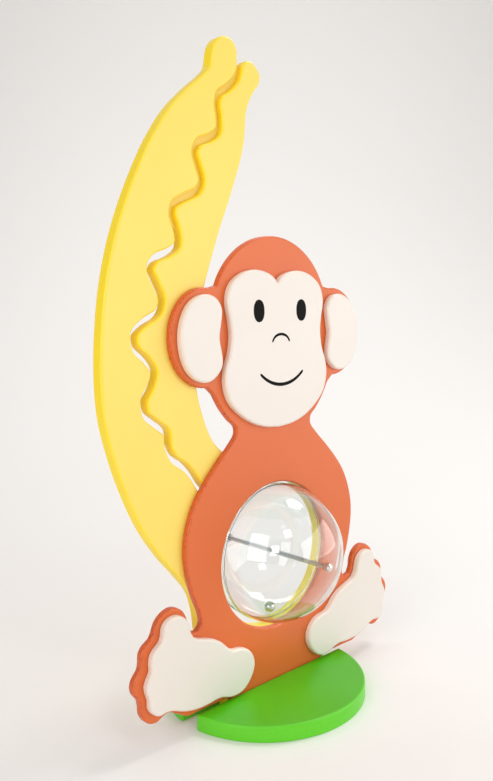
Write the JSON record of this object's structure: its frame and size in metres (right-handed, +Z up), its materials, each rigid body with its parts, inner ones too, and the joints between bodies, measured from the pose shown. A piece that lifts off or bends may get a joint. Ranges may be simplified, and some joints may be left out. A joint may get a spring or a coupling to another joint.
{
  "type": "free-standing monkey toy with spinning rattle ball",
  "caption": "Free-standing toy cut from flat painted boards: a monkey over a tall split banana, with a clear rattle ball spinning on an axle through its belly.",
  "frame": {"origin": "on the floor at the middle of the three-board stack, straight under the ball's axle", "axes": "+Z up, +X to the right of someone facing the monkey, the monkey's face looks along -Y"},
  "size_m": [0.332, 0.178, 0.5655],
  "materials": {
    "orange_paint": "painted board, satin",
    "cream_paint": "painted board, satin",
    "yellow_paint": "painted board, satin",
    "green_paint": "painted board, satin",
    "beech": "bare turned dowel",
    "steel": "bright zinc plate",
    "chrome": "polished",
    "clear_plastic": "clear, polished"
  },
  "bodies": {
    "stand": {"monkey_board": "orange_paint", "face_panel": "cream_paint", "ear_panel_right": "cream_paint", "ear_panel_left": "cream_paint", "foot_panel_right": "cream_paint", "foot_panel_left": "cream_paint", "banana_front_board": "yellow_paint", "banana_rear_board": "yellow_paint", "base_front": "green_paint", "base_rear": "green_paint", "base_dowel_left": "beech", "base_dowel_right": "beech", "axle_rod": "steel", "front_cap_nut": "chrome", "rear_washer": "steel", "rear_stop_nut": "steel", "bracket_nut_front": "steel", "bracket_washer_front": "steel", "bracket_washer_rear": "steel", "bracket_nut_rear": "steel", "axle_bracket": "steel", "bracket_screw_front": "steel", "bracket_screw_rear": "steel"},
    "ball": {"ball_front_half": "clear_plastic", "ball_rear_half": "clear_plastic"},
    "bell": {"rattle_bell": "chrome"}
  },
  "joints": [
    {"name": "ball_spin", "type": "hinge", "parent": "stand", "child": "ball", "pos_m": [0, -0.005, 0.129], "axis": [0, 1, 0], "continuous": true},
    {"name": "bell_roll", "type": "hinge", "parent": "stand", "child": "bell", "pos_m": [0, 0.002, 0.129], "axis": [0, 1, 0], "continuous": true}
  ]
}
